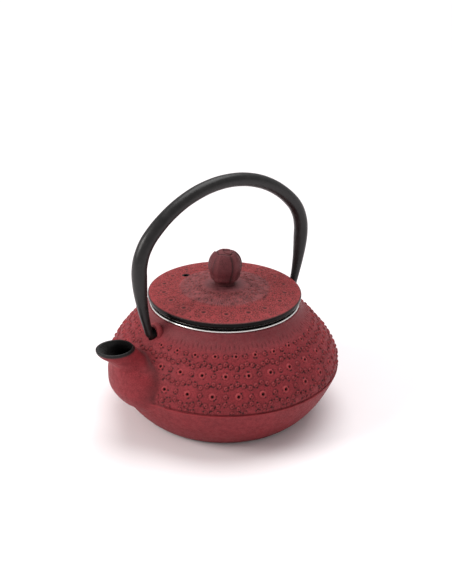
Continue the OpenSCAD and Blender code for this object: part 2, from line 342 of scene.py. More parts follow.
def dome_base():
    """The dome's cast wall, under the studs: it meets the neck and the seam nearly flush."""
    share = np.linspace(0, 1, len(ENVELOPE))
    sunk = STUD_H * (1 - 0.75 * smooth((share - 0.86) / 0.14))
    return ENVELOPE - normals_2d(ENVELOPE) * sunk[:, None]


DOME = dome_base()
OUTSIDE = np.vstack([[(0.01, 0.0)], BOWL, DOME, NECK[1:], [(NECK_R, MOUTH_Z), (0.01, MOUTH_Z)]])
# Every third point is enough for distances.
THINNED = np.vstack([OUTSIDE[::3], OUTSIDE[-1:]])


def body_distance(p):
    """Signed distance in mm from points to the pot's turned outside, negative inside."""
    q = np.stack([np.hypot(p[:, 0], p[:, 1]), p[:, 2]], -1)
    best = np.full(len(q), np.inf)
    side = np.zeros(len(q))
    for a, b in zip(THINNED[:-1], THINNED[1:]):
        along_ab = b - a
        t = np.clip(((q - a) @ along_ab) / (along_ab @ along_ab + 1e-12), 0, 1)
        away = q - (a + t[:, None] * along_ab)
        d = np.linalg.norm(away, axis=1)
        out = away[:, 0] * along_ab[1] - away[:, 1] * along_ab[0]
        nearer = d < best
        best = np.where(nearer, d, best)
        side = np.where(nearer, out, side)
    return np.where(side >= 0, best, -best)


def slope_of(value, at_p, p, step):
    """How fast a field rises along X, Y and Z, by small steps in mm from points where it is at_p."""
    return np.stack([(value(p + step * e) - at_p) / step for e in np.eye(3)], -1)


def distance_to_sections(p, rows):
    """Rough signed distance in mm to a tube with level oval sections, negative inside."""
    def value(q):
        z = np.clip(q[:, 2], rows[0, 0], rows[-1, 0])
        x, a, b = (np.interp(z, rows[:, 0], rows[:, k]) for k in (1, 2, 3))
        below = np.maximum(rows[0, 0] - q[:, 2], 0) / 6
        return np.sqrt(((q[:, 0] - x) / a) ** 2 + (q[:, 1] / b) ** 2 + 1e-9) - 1 + below

    at_p = value(p)
    return at_p / np.maximum(np.linalg.norm(slope_of(value, at_p, p, 0.05), axis=1), 0.03)


SPOUT_LINE = through(SPOUT_ROWS, 12)
FILLET = 2.6
# Faces that lie deeper than this in the pot or the spout are cut away.
SINK = 0.35


def spout_distance(p):
    """Rough signed distance in mm to the spout's outside, negative inside."""
    return distance_to_sections(p, SPOUT_LINE)


def blended(p):
    """Distance to the pot and spout together, with a fillet where they meet."""
    a, b = body_distance(p), spout_distance(p)
    h = np.maximum(FILLET - np.abs(a - b), 0) / FILLET
    return np.minimum(a, b) - h * h * FILLET / 4


def onto_blend(points):
    """Moves points onto the filleted outside, in four steps of at most 0.8 mm."""
    p = points.copy()
    for _ in range(4):
        gap = blended(p)
        slope = slope_of(blended, gap, p, 0.03)
        p -= np.clip(gap, -0.8, 0.8)[:, None] * slope / np.maximum((slope ** 2).sum(1), 0.2)[:, None]
    return p


def near_spout(p):
    """Points of the pot that are close enough to the spout to be moved."""
    return (p[:, 0] > 28) & (np.abs(p[:, 1]) < 32) & (p[:, 2] > 9)


def cut_for_spout(p, faces):
    """Faces of the turned outside that aren't covered by the spout."""
    c = p[faces].mean(1)
    near = (c[:, 0] > 30) & (np.abs(c[:, 1]) < 26)
    keep = np.ones(len(faces), bool)
    keep[near] = spout_distance(c[near]) > -SINK
    return faces[keep]


def filleted(points):
    """Turned points moved onto the fillet round the spout, which of them are near the spout, and
    how far those are from it."""
    near = near_spout(points)
    gap = spout_distance(points[near])
    wanted = near.copy()
    wanted[near] = gap < FILLET + 2
    moved = points.copy()
    moved[wanted] = onto_blend(points[wanted])
    return moved, near, gap


# ---- Pot: studs and flowers -------------------------------------------------------

FLOWERS = 30
TURN = 2 * math.pi / FLOWERS
PHASE = math.radians(53.0)
ROW_C_Z, ROW_B_Z, ROW_A_Z = 34.1, 41.7, 48.7
COLUMNS, PITCH = 1200, 0.28
REACH = 3.6
# Darkness painted into the crease where the spout meets the dome: painted shade.
CREASE_SHADE = 0.46


def stud(distance, wide, high, hole, deep):
    """Height, darkness and brightness of one stud with a hole in its top, by distance in mm. The brightness
    is a paler ring round the hole: dry-brushed paint with a painted highlight.

    wide and hole are the radii of the stud and of its hole, high and deep their height and depth."""
    nub = np.sqrt(smooth(1.25 - 1.25 * distance / wide))
    pit = smooth(1.15 - distance / hole)
    ring = smooth(1 - np.abs(distance - 0.62 * wide) / (0.45 * wide))
    return high * nub - (high + deep) * pit, smooth(1.25 - distance / hole), ring * (1 - pit)


def dome_features(at):
    """(turn, distance along the outline, kind) of each stud. at is the distance of a height."""
    c, b, a = at(ROW_C_Z), at(ROW_B_Z), at(ROW_A_Z)
    out = []
    for k in range(FLOWERS):
        for row, s, shift in (("c", c, 0.5), ("b", b, 0.0), ("a", a, 0.5)):
            out.append((PHASE + (k + shift) * TURN, s, row))
            out.append((PHASE + (k + shift + 0.5) * TURN, s, "dot"))
    for k in range(4 * FLOWERS):
        turn = PHASE + k * TURN / 4
        wave = (1, 0, -1, 0)[k % 4]
        out.append((turn, c - 4.45 + 0.95 * wave, "dot"))
        out.append((turn, (b + c) / 2 - 0.95 * wave, "dot"))
        out.append((turn, (a + b) / 2 + 0.95 * wave, "dot"))
        out.append((turn, a + 4.3 - 0.8 * wave, "streak"))
        if k % 4 != 0:
            out.append((turn, c - 7.7, "low"))
    return out


# Each kind's radius, height, hole radius and hole depth.
KINDS = {
    "c": (1.80, 0.60, 0.86, 0.80), "b": (1.75, 0.60, 0.82, 0.80), "a": (1.50, 0.58, 0.68, 0.65),
    "dot": (1.15, 0.60, 0.38, 0.00), "low": (1.00, 0.46, 0.32, 0.00),
}


def dome_relief(line):
    """Height, pit and rise over the dome's grid of rows and columns."""
    length = np.r_[0, np.cumsum(np.linalg.norm(np.diff(line, axis=0), axis=1))]
    seam_at = np.interp(SEAM_Z, line[:, 1], length)

    def at(z):
        return float(np.interp(z, line[:, 1], length))

    height, pit, rubbed_and_highlight = (np.zeros((len(line), COLUMNS)) for _ in range(3))
    column = 2 * math.pi / COLUMNS
    for turn, s, kind in dome_features(at):
        jitter = rng.normal(0, 0.10, 3)
        s, turn = s + jitter[0], turn + jitter[1] / 52
        rows = np.nonzero(np.abs(length - s) < REACH)[0]
        r = float(np.interp(s, length, line[:, 0]))
        span = int(REACH / (r * column)) + 1
        middle = round(turn / column)
        columns = np.arange(middle - span, middle + span + 1)
        across = (columns * column - turn) * r
        up = length[rows] - s
        if kind == "streak":
            d = np.hypot(across[None, :] / 0.62, up[:, None] / 2.1)
            ditch = smooth(1 - d)
            h, p, q = -0.24 * ditch, (0.26 + 0.6 * abs(jitter[2])) * ditch, 0 * d
        else:
            wide, high, hole, deep = KINDS[kind]
            d = np.hypot(across[None, :], up[:, None])
            h, p, q = stud(d, wide, high * (1 + 0.8 * jitter[2]), hole, deep)
            small = kind in ("dot", "low")
            moat = smooth(1 - np.abs(d - 1.05 * wide) / (0.45 * wide))
            h = h - 0.12 * moat
            p = np.maximum((0.60 if small else 1.0) * p, (0.32 if small else 0.0) * moat)
            # Small studs are paler over their tops: dry-brushed paint with a painted highlight.
            q = 0.7 * smooth(1.1 - d / wide) * (1 - p) if small else q
            for _ in range(3):
                way = rng.uniform(0, 2 * math.pi)
                x, y = 1.05 * wide * math.cos(way), 1.05 * wide * math.sin(way)
                away = np.hypot(across[None, :] - x, up[:, None] - y)
                nick = smooth(1.3 - away / rng.uniform(0.3, 0.62))
                h = h - 0.14 * nick
                p = np.maximum(p, 0.88 * nick)
        block = np.ix_(rows, columns % COLUMNS)
        height[block] += h
        pit[block] = np.maximum(pit[block], p)
        rubbed_and_highlight[block] = np.maximum(rubbed_and_highlight[block], q)
    # A thin dark line painted along the seam: painted shade in the notch where the band meets the dome. It
    # also takes the paleness off there.
    seam_shade = smooth(1 - np.abs(length - seam_at - 0.15) / 0.45)[:, None]
    return height, np.maximum(pit, 0.55 * seam_shade), rubbed_and_highlight * (1 - seam_shade)


def lug_clear(p):
    """1 away from the lugs and 0 at them."""
    d = np.hypot(np.abs(p[:, 0]) - LUG_FOOT_X, p[:, 1] * 0.75)
    return smooth((d - 4.2) / 2.5)


def without_lug_hole(p, faces):
    """Faces that the lugs' holes don't cut away."""
    c = p[faces].mean(1)
    hole = (np.hypot(c[:, 1], c[:, 2] - LUG_HOLE_Z) < LUG_HOLE_R) & (np.abs(c[:, 0]) > POCKET_X)
    return faces[~hole]


def make_dome():
    """The dome and neck with their relief, in two halves."""
    ledge = np.array([(SEAM_R - 0.2, SEAM_Z - 0.28), (SEAM_R - 0.75, SEAM_Z - 0.18),
                      (SEAM_R - 0.85, SEAM_Z + 0.1)])
    top = np.array([(NECK_R - 0.08, MOUTH_Z - 0.3), (NECK_R - 0.4, MOUTH_Z - 0.02), (NECK_R - 1.2, MOUTH_Z),
                    (MOUTH_R, MOUTH_Z)])
    line = along(np.vstack([ledge, DOME[6:], NECK[1:], top]), PITCH)
    height, pit, rubbed_and_highlight = dome_relief(line)
    points = revolve(line, COLUMNS)
    normal = revolve(normals_2d(line), COLUMNS)
    faces = cut_for_spout(points, grid_faces(len(line), COLUMNS))
    faces = without_lug_hole(points, faces)
    moved, near, gap = filleted(points)
    quiet = lug_clear(points)
    quiet[near] *= smooth((gap - 0.7) / 1.3)
    moved += normal * (height.ravel() * quiet)[:, None]
    layers = zero_layers(points)
    # Painted shade in the crease round the spout's root.
    layers["pit"][near] = CREASE_SHADE * smooth(1 - np.abs(gap - 0.1) / 2.2)
    layers["pit"] = np.maximum(pit.ravel() * quiet, layers["pit"])
    layers["rubbed_and_highlight"] = rubbed_and_highlight.ravel() * quiet
    # Darker and greyer towards the neck.
    layers["mauve"] = 0.45 * smooth((points[:, 2] - 48) / 6)
    left = faces[:, 0] % COLUMNS < COLUMNS // 2
    for name, half in (("pot_dome_left", faces[left]), ("pot_dome_right", faces[~left])):
        p, f, l = used_only(moved, half, layers)
        piece = mesh_piece(name, p, f, RED, **l)
        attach(piece, "pot")
        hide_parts("pot_body")


def make_bowl():
    """The smooth lower band and the flat base, with a shallow recess in it."""
    base = np.array([(0.02, 0.4), (20, 0.4), (37, 0.4), (38.2, 0.0), (BASE_R - 0.6, 0.0)])
    shoulder = np.array([(SEAM_R - 0.02, SEAM_Z - 0.42), (SEAM_R - 0.2, SEAM_Z - 0.28)])
    line = along(np.vstack([along(base, 1.5), BOWL[1:], shoulder]), 0.5)
    columns = 480
    points = revolve(line, columns)
    faces = cut_for_spout(points, grid_faces(len(line), columns))
    moved, _, _ = filleted(points)
    z = points[:, 2]
    layers = zero_layers(points)
    # A pale line along the top of the band, under the seam: a painted highlight on the ledge.
    layers["rubbed_and_highlight"] = 0.55 * smooth(1 - np.abs(z - (SEAM_Z - 0.55)) / 0.5)
    # The base is black, and the black runs up the bottom 1.6 mm of the side: black base paint, with a painted
    # shadow where the pot meets the floor.
    layers["bare"] = 0.9 * smooth(1 - z / 1.6) * np.where(z < 0.7, 1, 0.648)
    p, f, l = used_only(moved, faces, layers)
    piece = mesh_piece("pot_bowl", p, f, RED, **l)
    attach(piece, "pot")
    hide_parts("pot_body")


# ---- Pot: spout ---------------------------------------------------------------------

# The channel's sections: the spout's own less its wall, and a flare at the mouth.
CHANNEL = np.array([(s[0], s[1] - 0.6, s[2] - SPOUT_WALL, s[3] - SPOUT_WALL) for s in SPOUT_ROWS[2:9]]
                   + [(47.5, 62.3, 6.3, 5.9), (SPOUT_Z - 0.35, 64.3, 7.9, 7.1)])


def level_rings(rows, columns):
    """Points of level oval sections, row by row."""
    turn = turns(columns)
    return np.stack([rows[:, 1:2] + rows[:, 2:3] * np.cos(turn), rows[:, 3:4] * np.sin(turn),
                     rows[:, :1] + 0 * turn], -1).reshape(-1, 3)


def make_spout():
    """The outside of the spout, its rounded black lip and the channel down into the pot."""
    columns = 144
    outer = SPOUT_LINE.copy()
    outer[-1] = (SPOUT_Z - 0.45, 65, 8.97, 8.1)
    outer[:, 2] = np.minimum(outer[:, 2], SPOUT_TIP_X - outer[:, 1])
    lip = np.array([(SPOUT_Z - 0.12, 65, 8.92, 8.0), (SPOUT_Z, 64.95, 8.65, 7.75),
                    (SPOUT_Z, 64.55, 8.3, 7.45), (SPOUT_Z - 0.12, 64.4, 8.05, 7.25)])
    inner = through(CHANNEL, 8)[::-1]
    rows = np.vstack([outer, lip, inner])
    points = level_rings(rows, columns)
    faces = grid_faces(len(rows), columns)
    face_row = faces[:, 0] // columns
    depth = body_distance(points[faces].mean(1))
    in_wall = depth > -WALL - 0.65
    keep = np.where(face_row < len(outer) - 1, depth > -SINK,
                    in_wall | (face_row < len(outer) + len(lip)))
    z = points[:, 2]
    outside = np.arange(len(points)) < len(outer) * columns
    moved = points.copy()
    low = outside & (z < 47)
    moved[low] = onto_blend(points[low])
    layers = zero_layers(points)
    # Painted shade on the spout near where it meets the dome, above a height of 22 mm.
    seam = smooth(1 - np.abs(body_distance(points)) / 4.5) * smooth((z - 22) / 6)
    layers["pit"] = CREASE_SHADE * seam * outside
    layers["bare"] = np.where(outside, smooth((z - (SPOUT_Z - 1.9)) / 1.1), 1)
    p, f, l = used_only(moved, faces[keep], layers)
    piece = mesh_piece("pot_spout", p, f, RED, **l)
    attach(piece, "pot")
    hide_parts("pot_body")


# ---- Pot: black enamel inside ----------------------------------------------------------

def inset(line, by):
    """An outline moved inwards."""
    return line - normals_2d(line) * by


def inside_line():
    """The outline of the cavity, from the middle of its floor up to the mouth."""
    bowl = inset(BOWL, WALL)
    bowl = bowl[bowl[:, 1] > FLOOR_Z + 0.8]
    dome = inset(ENVELOPE, WALL + STUD_H)
    dome = dome[dome[:, 1] > SEAM_Z + 3]
    start = np.array([(0.02, FLOOR_Z), (bowl[0, 0] - 2.5, FLOOR_Z), (bowl[0, 0] - 1.0, FLOOR_Z + 0.25)])
    end = np.array([(MOUTH_R, MOUTH_Z - 6.4), (MOUTH_R, MOUTH_Z - 0.4), (MOUTH_R, MOUTH_Z)])
    return np.vstack([start, bowl, dome, end])


def make_inside():
    """The cavity's enamel, open where the spout's channel leaves it."""
    line = along(inside_line(), 0.8)
    columns = 300
    points = revolve(line, columns)
    faces = grid_faces(len(line), columns)[:, ::-1]
    c = points[faces].mean(1)
    channel = through(CHANNEL, 6)
    gone = (c[:, 0] > 30) & (c[:, 2] > 20) & (distance_to_sections(c, channel) < -0.25)
    p, f, _ = used_only(points, faces[~gone], {})
    piece = mesh_piece("pot_inside", p, f, ENAMEL)
    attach(piece, "pot")
    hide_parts("pot_body")


# ---- Pot: lugs ------------------------------------------------------------------------

def lug_reach(direction):
    """How far the lug's outline is from its hole's axis: round above, and below it two sloping sides
    and a foot that is sunk in the shoulder."""
    (ax, ay), (bx, by) = (LUG_R - 0.1, 0.0), (LUG_R + 1.6, -7.3)
    reach = np.full(len(direction), LUG_R)
    for i, (x, y) in enumerate(direction):
        if y < 0:
            side = (ax * (by - ay) - ay * (bx - ax)) / (abs(x) * (by - ay) - y * (bx - ax))
            reach[i] = min(side if side > 0 else np.inf, by / y)
    for _ in range(3):
        reach = (np.roll(reach, 1) + 2 * reach + np.roll(reach, -1)) / 4
    return reach


def make_lug(name, side):
    """A rounded ear with a loose hole, run on into the shoulder as a pocket."""
    columns = 120
    turn = turns(columns)
    direction = np.stack([np.cos(turn), np.sin(turn)], -1)
    reach = lug_reach(direction)
    front, back = LUG_X, LUG_X - LUG_T
    # Each ring's share of the way from the hole to the outline, and its X.
    rings = [(0.0, POCKET_X), (0.0, front - 0.45), (0.05, front - 0.12), (0.16, front), (0.45, front),
             (0.72, front - 0.02), (0.86, front - 0.16), (0.95, front - 0.5), (1.0, front - 1.0),
             (1.0, back + 1.0), (0.95, back + 0.4), (0.84, back + 0.06), (0.5, back), (0.0, back)]
    points = []
    for share, x in rings:
        r = LUG_HOLE_R + (reach - LUG_HOLE_R) * share
        points.append(np.stack([side * x + 0 * r, direction[:, 0] * r, LUG_HOLE_Z + direction[:, 1] * r], -1))
    points = np.concatenate(points)
    faces = grid_faces(len(rings), columns)[:, ::side]
    ring = np.arange(len(points)) // columns
    layers = zero_layers(points)
    # The hole's wall is painted dark, a painted shade inside the hole. The rounded rim gets a painted
    # highlight.
    layers["pit"] = 0.6 * (ring <= 1) + 0.24 * (ring == 2)
    layers["rubbed_and_highlight"] = 0.5 * ((ring >= 6) & (ring <= 8))
    layers["mauve"] += 0.2
    piece = mesh_piece(name, points, faces, RED, **layers)
    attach(piece, "pot")
    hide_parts("pot_body")
    pocket_points = np.vstack([points[:columns], [(side * POCKET_X, 0, LUG_HOLE_Z)]])
    fan = np.array([(columns, k, (k + 1) % columns) for k in range(columns)])
    fan = fan[body_distance(pocket_points[fan].mean(1)) < 0][:, ::side]
    p, f, _ = used_only(pocket_points, fan, {})
    pocket = mesh_piece(name + "_pocket", p, f, ENAMEL)
    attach(pocket, "pot")
    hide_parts("pot_body")


# ---- Bail handle -----------------------------------------------------------------------

ARCH_Z, ARCH_R, SHOULDER_R, ARCH_HALF, LEG_R, BEND_R = 119.4, 60.0, 25.0, 50.25, 110.0, 2.7
BAR_R, GRIP_R, HOOK_R = 3.65, 3.35, 1.95
TIP_X = MOUTH_R + 5.4


def make_handle():
    """One bar along its centre line: arch, shoulder, leaning leg, bend and hook, mirrored at the top."""
    arch_turn = math.asin((ARCH_HALF - SHOULDER_R) / (ARCH_R - SHOULDER_R))
    shoulder_z = ARCH_Z - ARCH_R + (ARCH_R - SHOULDER_R) * math.cos(arch_turn)
    bend_z = HINGE_Z + BEND_R
    leg_turn = math.asin((shoulder_z - bend_z + BEND_R * 0.22) / LEG_R)
    foot_x = ARCH_HALF - LEG_R * (1 - math.cos(leg_turn))
    bend_x = foot_x - BEND_R * math.cos(leg_turn)

    def grip_r(z):
        return BAR_R + (GRIP_R - BAR_R) * smooth((z - shoulder_z) / (ARCH_Z - shoulder_z))

    def leg_r(z):
        thin = HOOK_R + 0.05
        return thin + (BAR_R - thin) * smooth((z - bend_z) / (shoulder_z - bend_z))

    half = []
    for a in np.linspace(0, arch_turn, 40):
        z = ARCH_Z - ARCH_R * (1 - math.cos(a))
        half.append((ARCH_R * math.sin(a), z, grip_r(z)))
    for a in np.linspace(arch_turn, math.pi / 2, 26)[1:]:
        z = shoulder_z + SHOULDER_R * math.cos(a)
        half.append((ARCH_HALF - SHOULDER_R * (1 - math.sin(a)), z, grip_r(z)))
    for a in np.linspace(0, leg_turn, 44)[1:]:
        z = shoulder_z - LEG_R * math.sin(a)
        half.append((ARCH_HALF - LEG_R * (1 - math.cos(a)), z, leg_r(z)))
    for a in np.linspace(leg_turn, math.pi / 2, 14)[1:]:
        half.append((bend_x + BEND_R * math.cos(a), bend_z - BEND_R * math.sin(a), HOOK_R + 0.03))
    for x in np.linspace(bend_x - 0.2, TIP_X + HOOK_R * 0.6, 5):
        half.append((x, HINGE_Z, HOOK_R))
    for a in np.linspace(0.35, math.pi / 2, 6):
        half.append((TIP_X + HOOK_R * 0.6 * (1 - math.sin(a)), HINGE_Z, max(HOOK_R * math.cos(a), 0.02)))
    half = np.array(half, float)
    line = np.vstack([half[::-1] * (-1, 1, 1), half[1:]])
    way = np.gradient(line[:, :2], axis=0)
    way /= np.linalg.norm(way, axis=1)[:, None]
    out = np.stack([-way[:, 1], way[:, 0]], -1)
    columns = 48
    turn = turns(columns)
    step = np.arange(len(line))
    lumps = 1 + 0.006 * np.sin(step * 0.23) + 0.004 * np.sin(step * 0.61 + 1)
    r = (line[:, 2] * lumps)[:, None]
    points = np.stack([line[:, :1] + r * np.cos(turn) * out[:, :1], r * np.sin(turn),
                       line[:, 1:2] + r * np.cos(turn) * out[:, 1:]], -1).reshape(-1, 3)
    piece = mesh_piece("bail", points, grid_faces(len(line), columns)[:, ::-1], SATIN)
    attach(piece, "handle")
    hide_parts("bail_handle")


# ---- Lid -------------------------------------------------------------------------------

def lid_top(r):
    """Height of the lid's top at a radius: a raised disc, and a lower zone round it."""
    r = np.asarray(r, float)
    inner = DISC_Z + (CROWN_Z - DISC_Z) * (1 - (r / DISC_R) ** 2)
    outer = LID_Z + 1.6 * (1 - ((r - DISC_R) / (LID_R - DISC_R)) ** 2)
    step = smooth((r - DISC_R + 0.4) / 0.8)
    return inner * (1 - step) + outer * step


LID_FLOWERS, LID_FLOWER_R = 18, 30.6
LID_DOTS, OUTER_DOTS_R, INNER_DOTS_R = 60, 35.9, 25.4
LID_SPECKS, LID_REACH = 420, 2.2
LID_COLUMNS = 720


def lid_marks():
    """(turn, radius, the four sizes that stud takes, darkness) of each mark on the lid."""
    marks = []
    for k in range(LID_FLOWERS):
        turn = PHASE + k * 2 * math.pi / LID_FLOWERS
        marks.append((turn, LID_FLOWER_R, (2.2, 0.36, 1.50, 0.30), 0.78))
        for j in range(8):
            a = j * math.pi / 4 + 0.2
            at = LID_FLOWER_R + 3.6 * math.sin(a)
            marks.append((turn + 3.9 * math.cos(a) / at, at, (1.10, 0.50, 0.52, 0.10), 0.95))
    step = 2 * math.pi / LID_DOTS
    for k in range(LID_DOTS):
        sway = 0.5 * (-1) ** k
        marks.append((k * step, OUTER_DOTS_R + sway, (1.05, 0.42, 0.46, 0.10), 0.75))
        marks.append(((k + 0.5) * step, INNER_DOTS_R + sway, (0.95, 0.34, 0.42, 0.10), 0.75))
    for _ in range(LID_SPECKS):
        turn, at = rng.uniform(0, 2 * math.pi), rng.uniform(11.5, 24.5)
        marks.append((turn, at, (0.75, 0.20, 0.34, 0.05), 0.45))
    return marks


def lid_relief(radius):
    """Height, pit and rise over the lid's rings: flowers outside, fine rays on the disc."""
    height, pit, rubbed_and_highlight = (np.zeros((len(radius), LID_COLUMNS)) for _ in range(3))
    column = 2 * math.pi / LID_COLUMNS
    for turn, at, (wide, high, hole, deep), dark in lid_marks():
        jitter = rng.normal(0, 0.30, 2)
        at, turn = at + jitter[0], turn + jitter[1] / 31
        rows = np.nonzero(np.abs(radius - at) < LID_REACH)[0]
        span = int(LID_REACH / (at * column)) + 1
        columns = np.arange(round(turn / column) - span, round(turn / column) + span + 1)
        x, y = (columns * column - turn)[None, :] * at, (radius[rows] - at)[:, None]
        d = np.hypot(x, y)
        h, p, q = stud(d, wide, high, hole, deep)
        moat = smooth(1 - np.abs(d - 1.1 * wide) / (0.45 * wide))
        way = rng.uniform(0, 2 * math.pi)
        away = np.hypot(x - wide * math.cos(way), y - wide * math.sin(way))
        nick = smooth(1.3 - away / rng.uniform(0.3, 0.6))
        block = np.ix_(rows, columns % LID_COLUMNS)
        height[block] += h - 0.08 * moat
        for shade in (dark * p, 0.40 * moat, 0.8 * nick):
            pit[block] = np.maximum(pit[block], shade)
        rubbed_and_highlight[block] = np.maximum(rubbed_and_highlight[block], 0.7 * q)
    turn = turns(LID_COLUMNS)
    patches = rng.uniform(0.1, 1, (len(radius) // 9 + 1, LID_COLUMNS // 6))
    uneven = np.repeat(np.repeat(patches, 9, 0), 6, 1)[:len(radius)]
    rays = (0.5 + 0.5 * np.cos(120 * turn + 1.6 * np.sin(7 * turn) + 0.25 * radius[:, None])) * uneven
    on_disc = (smooth((radius - 7.5) / 5) * smooth((DISC_R + 1.6 - radius) / 1.5))[:, None]
    height += -0.16 * on_disc * rays ** 2
    pit = np.maximum(pit, 0.42 * on_disc * rays ** 2)
    rubbed_and_highlight = np.maximum(rubbed_and_highlight, 0.5 * on_disc * (1 - rays) ** 2)
    return height, pit, rubbed_and_highlight


VENT = np.array([VENT_AT * math.cos(VENT_TURN), VENT_AT * math.sin(VENT_TURN)])
VENT_TOP_Z = float(lid_top(VENT_AT))


def from_vent(points):
    """Offsets in plan from the middle of the steam hole, and their lengths."""
    away = points[:, :2] - VENT
    return away, np.hypot(away[:, 0], away[:, 1])


def make_lid_top():
    """The red top with its relief, out to the bare edge. The hole in it is snapped round."""
    radius = np.linspace(SHANK_R, LID_R - 0.55, 128)
    edge = np.array([(LID_R - 0.3, LID_Z - 0.08), (LID_R - 0.1, LID_Z - 0.28)])
    line = np.vstack([np.stack([radius, lid_top(np.maximum(radius, 5.4))], -1), edge])
    height, pit, rubbed_and_highlight = lid_relief(line[:, 0])
    height *= smooth((LID_R - 0.6 - line[:, 0]) / 1.2)[:, None]
    points = revolve(line, LID_COLUMNS)
    away, d = from_vent(points)
    clear = smooth((d - 2.2) / 1.4)
    dip = smooth((2.0 - d / VENT_R) / 0.6)
    points[:, 2] += height.ravel() * clear - 0.12 - 0.30 * dip
    snap = (d > 0.6) & (d < VENT_R + 0.22)
    points[snap, :2] = VENT + away[snap] / d[snap, None] * VENT_R
    faces = grid_faces(len(line), LID_COLUMNS)[:, ::-1]
    faces = faces[from_vent(points[faces].mean(1))[1] > VENT_R - 0.12]
    r = np.hypot(points[:, 0], points[:, 1])
    layers = {"pit": np.maximum(pit.ravel() * clear, dip), "rubbed_and_highlight": rubbed_and_highlight.ravel() * clear,
              "bare": 0.9 * smooth((r - LID_R + 0.75) / 0.5), "mauve": 0.9 * smooth((DISC_R + 1.2 - r) / 2.6)}
    p, f, l = used_only(points, faces, layers)
    piece = mesh_piece("lid_top", p, f, LID_RED, **l)
    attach(piece, "lid")
    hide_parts("lid")


def make_lid_underside():
    """The black edge, the slope under it, the spigot and the dished underside, flat at the washer."""
    foot_z = SEAT_Z - SPIGOT_H
    rim = np.array([
        (LID_R - 0.1, LID_Z - 0.40), (LID_R, LID_Z - 0.75), (LID_R, SEAT_Z + 3.1),
        (LID_R - 0.12, SEAT_Z + 2.7), (LID_R - 0.5, SEAT_Z + 2.1), (LID_R - 1.4, SEAT_Z + 0.95),
        (LID_R - 2.5, SEAT_Z + 0.1), (LID_R - 3.1, SEAT_Z), (SPIGOT_R, SEAT_Z), (SPIGOT_R, foot_z + 0.6),
        (SPIGOT_R - 0.15, foot_z + 0.15), (SPIGOT_R - 0.5, foot_z), (SPIGOT_R - 2.2, foot_z),
        (SPIGOT_R - 2.45, foot_z + 0.2),
    ])
    r = np.linspace(SPIGOT_R - 3.4, SHANK_R, 24)
    flat = smooth((WASHER_FLAT_R + 0.8 - r) / 0.8)
    dished = lid_top(r) - LID_T - 0.5 * smooth((r - WASHER_FLAT_R) / 14)
    under = np.stack([r, dished * (1 - flat) + (CROWN_Z - LID_T) * flat], -1)
    line = np.vstack([along(rim, 0.35), under])
    columns = 256
    points = revolve(line, columns)
    faces = grid_faces(len(line), columns)[:, ::-1]
    faces = faces[from_vent(points[faces].mean(1))[1] > VENT_R + 0.1]
    p, f, _ = used_only(points, faces, {})
    piece = mesh_piece("lid_underside", p, f, ENAMEL)
    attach(piece, "lid")
    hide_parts("lid")


def make_lid_vent():
    """The steam hole's wall, flared a little at the bottom."""
    columns = 48
    rows = np.array([(VENT_R, VENT_TOP_Z - 0.38), (VENT_R, 61.0), (VENT_R + 0.5, VENT_TOP_Z - LID_T - 0.5)])
    tube = revolve(rows, columns) + (*VENT, 0)
    piece = mesh_piece("lid_vent", tube, grid_faces(len(rows), columns), ENAMEL)
    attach(piece, "lid")
    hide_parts("lid")


# ---- Knob ------------------------------------------------------------------------------

